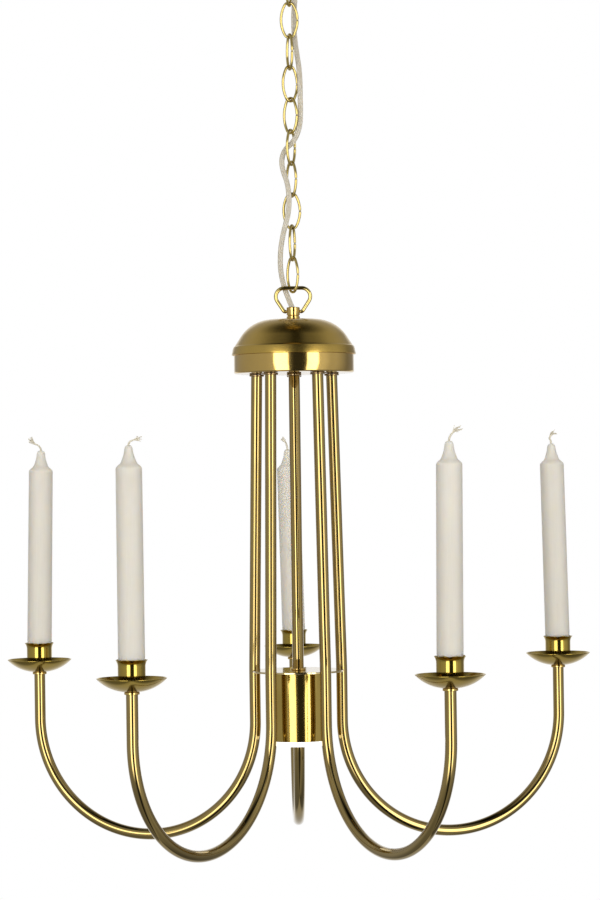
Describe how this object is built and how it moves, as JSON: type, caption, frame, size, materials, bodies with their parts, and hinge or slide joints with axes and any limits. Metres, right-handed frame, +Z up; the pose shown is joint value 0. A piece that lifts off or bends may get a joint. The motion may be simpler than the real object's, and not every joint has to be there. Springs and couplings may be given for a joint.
{
  "type": "candle chandelier",
  "caption": "Brass candle chandelier: hooked tube arms with drip pans, cups and candles round a central downlight, hung on an oval-link chain with a flat clear cord.",
  "frame": {"origin": "centre of the ceiling bar's top face, midway between its two screw holes, in the plane of the ceiling", "axes": "+Z up into the ceiling; the chain and chandelier hang towards -Z; +X to the right as seen from -Y, the side the front pair of arms faces"},
  "size_m": [0.5284, 0.5157, 0.8543],
  "materials": {
    "brass": "satin",
    "dark_brass": "darkened, satin",
    "plated_steel": "zinc plated",
    "wax": "ivory candle wax with a cotton wick",
    "terminal_plastic": "moulded",
    "cord_plastic": "clear sheath over two stranded conductors",
    "lead_plastic": "smooth",
    "ceramic": "glazed ceramic",
    "lamp_glass": "frosted",
    "opal_glass": "opal white"
  },
  "bodies": {
    "ceiling": {"ceiling_bar": "plated_steel", "ceiling_cup": "brass", "ceiling_nipple": "brass", "ceiling_collar": "brass", "terminal_block": "terminal_plastic", "supply_cord": "cord_plastic"},
    "ceiling_bail": {"ceiling_bail": "brass"},
    "link_01": {"chain_link_01": "brass"},
    "link_02": {"chain_link_02": "brass"},
    "link_03": {"chain_link_03": "brass"},
    "link_04": {"chain_link_04": "brass"},
    "link_05": {"chain_link_05": "brass"},
    "link_06": {"chain_link_06": "brass"},
    "link_07": {"chain_link_07": "brass"},
    "link_08": {"chain_link_08": "brass"},
    "link_09": {"chain_link_09": "brass"},
    "link_10": {"chain_link_10": "brass"},
    "link_11": {"chain_link_11": "brass"},
    "cap_bail": {"cap_bail": "brass"},
    "chandelier": {"cap_collar": "brass", "cap_nipple": "brass", "cap_dome": "brass", "cap_band": "brass", "stem_nuts": "plated_steel", "centre_stem": "brass", "tube_rings": "dark_brass", "stem_foot_ring": "brass", "spacer_disc": "brass", "inner_lead": "lead_plastic", "downlight_housing": "brass", "lampholder": "ceramic", "lamp": "lamp_glass", "arm_1": "brass", "arm_2": "brass", "arm_3": "brass", "arm_4": "brass", "arm_5": "brass", "arm_studs": "plated_steel", "arm_nuts": "plated_steel", "arm_plugs": "brass", "pan_rings": "brass", "cup_screws": "plated_steel", "drip_pan_1": "brass", "drip_pan_2": "brass", "drip_pan_3": "brass", "drip_pan_4": "brass", "drip_pan_5": "brass", "candle_cup_1": "brass", "candle_cup_2": "brass", "candle_cup_3": "brass", "candle_cup_4": "brass", "candle_cup_5": "brass"},
    "candle_1": {"candle_1": "wax"},
    "candle_2": {"candle_2": "wax"},
    "candle_3": {"candle_3": "wax"},
    "candle_4": {"candle_4": "wax"},
    "candle_5": {"candle_5": "wax"},
    "diffuser": {"diffuser": "opal_glass"}
  },
  "joints": [
    {"name": "ceiling_bail_swing", "type": "hinge", "parent": "ceiling", "child": "ceiling_bail", "pos_m": [0, 0, -0.0386], "axis": [1, 0, 0], "range_deg": [-4, 4], "deforming": ["supply_cord"]},
    {"name": "link_01_swing", "type": "hinge", "parent": "ceiling_bail", "child": "link_01", "pos_m": [0, 0, -0.0594], "axis": [0, 1, 0], "range_deg": [-4, 4], "deforming": ["supply_cord"]},
    {"name": "link_02_swing", "type": "hinge", "parent": "link_01", "child": "link_02", "pos_m": [0, 0, -0.0866], "axis": [0.6947, -0.7193, 0], "range_deg": [-4, 4], "deforming": ["supply_cord"]},
    {"name": "link_03_swing", "type": "hinge", "parent": "link_02", "child": "link_03", "pos_m": [0, 0, -0.1147], "axis": [0.2756, 0.9613, 0], "range_deg": [-4, 4], "deforming": ["supply_cord"]},
    {"name": "link_04_swing", "type": "hinge", "parent": "link_03", "child": "link_04", "pos_m": [0, 0, -0.1428], "axis": [1, 0, 0], "range_deg": [-4, 4], "deforming": ["supply_cord"]},
    {"name": "link_05_swing", "type": "hinge", "parent": "link_04", "child": "link_05", "pos_m": [0, 0, -0.1709], "axis": [0.309, -0.9511, 0], "range_deg": [-4, 4], "deforming": ["supply_cord"]},
    {"name": "link_06_swing", "type": "hinge", "parent": "link_05", "child": "link_06", "pos_m": [0, 0, -0.199], "axis": [0.866, 0.5, 0], "range_deg": [-4, 4], "deforming": ["supply_cord"]},
    {"name": "link_07_swing", "type": "hinge", "parent": "link_06", "child": "link_07", "pos_m": [0, 0, -0.2271], "axis": [0.7771, -0.6293, 0], "range_deg": [-4, 4], "deforming": ["supply_cord"]},
    {"name": "link_08_swing", "type": "hinge", "parent": "link_07", "child": "link_08", "pos_m": [0, 0, -0.2552], "axis": [0.4695, 0.8829, 0], "range_deg": [-4, 4], "deforming": ["supply_cord"]},
    {"name": "link_09_swing", "type": "hinge", "parent": "link_08", "child": "link_09", "pos_m": [0, 0, -0.2833], "axis": [0.5592, -0.829, 0], "range_deg": [-4, 4], "deforming": ["supply_cord"]},
    {"name": "link_10_swing", "type": "hinge", "parent": "link_09", "child": "link_10", "pos_m": [0, 0, -0.3114], "axis": [0.9976, 0.0698, 0], "range_deg": [-4, 4], "deforming": ["supply_cord"]},
    {"name": "link_11_swing", "type": "hinge", "parent": "link_10", "child": "link_11", "pos_m": [0, 0, -0.3395], "axis": [0.309, 0.9511, 0], "range_deg": [-4, 4], "deforming": ["supply_cord"]},
    {"name": "cap_bail_swing", "type": "hinge", "parent": "link_11", "child": "cap_bail", "pos_m": [0, 0, -0.3676], "axis": [0.6293, -0.7771, 0], "range_deg": [-4, 4], "deforming": ["supply_cord"]},
    {"name": "chandelier_swing", "type": "hinge", "parent": "cap_bail", "child": "chandelier", "pos_m": [0, 0, -0.3848], "axis": [1, 0, 0], "range_deg": [-4, 4], "deforming": ["supply_cord"]},
    {"name": "candle_1_lift", "type": "slide", "parent": "chandelier", "child": "candle_1", "axis": [-0.0192, 0, 0.9998], "range_m": [0, 0.03]},
    {"name": "candle_2_lift", "type": "slide", "parent": "chandelier", "child": "candle_2", "axis": [-0.0209, 0, 0.9998], "range_m": [0, 0.03]},
    {"name": "candle_3_lift", "type": "slide", "parent": "chandelier", "child": "candle_3", "axis": [0.0209, 0, 0.9998], "range_m": [0, 0.03]},
    {"name": "candle_4_lift", "type": "slide", "parent": "chandelier", "child": "candle_4", "axis": [0, 0, 1], "range_m": [0, 0.03]},
    {"name": "candle_5_lift", "type": "slide", "parent": "chandelier", "child": "candle_5", "axis": [0.0087, 0, 1], "range_m": [0, 0.03]},
    {"name": "diffuser_pull", "type": "slide", "parent": "chandelier", "child": "diffuser", "axis": [0, 0, 1], "range_m": [-0.03, 0]}
  ]
}
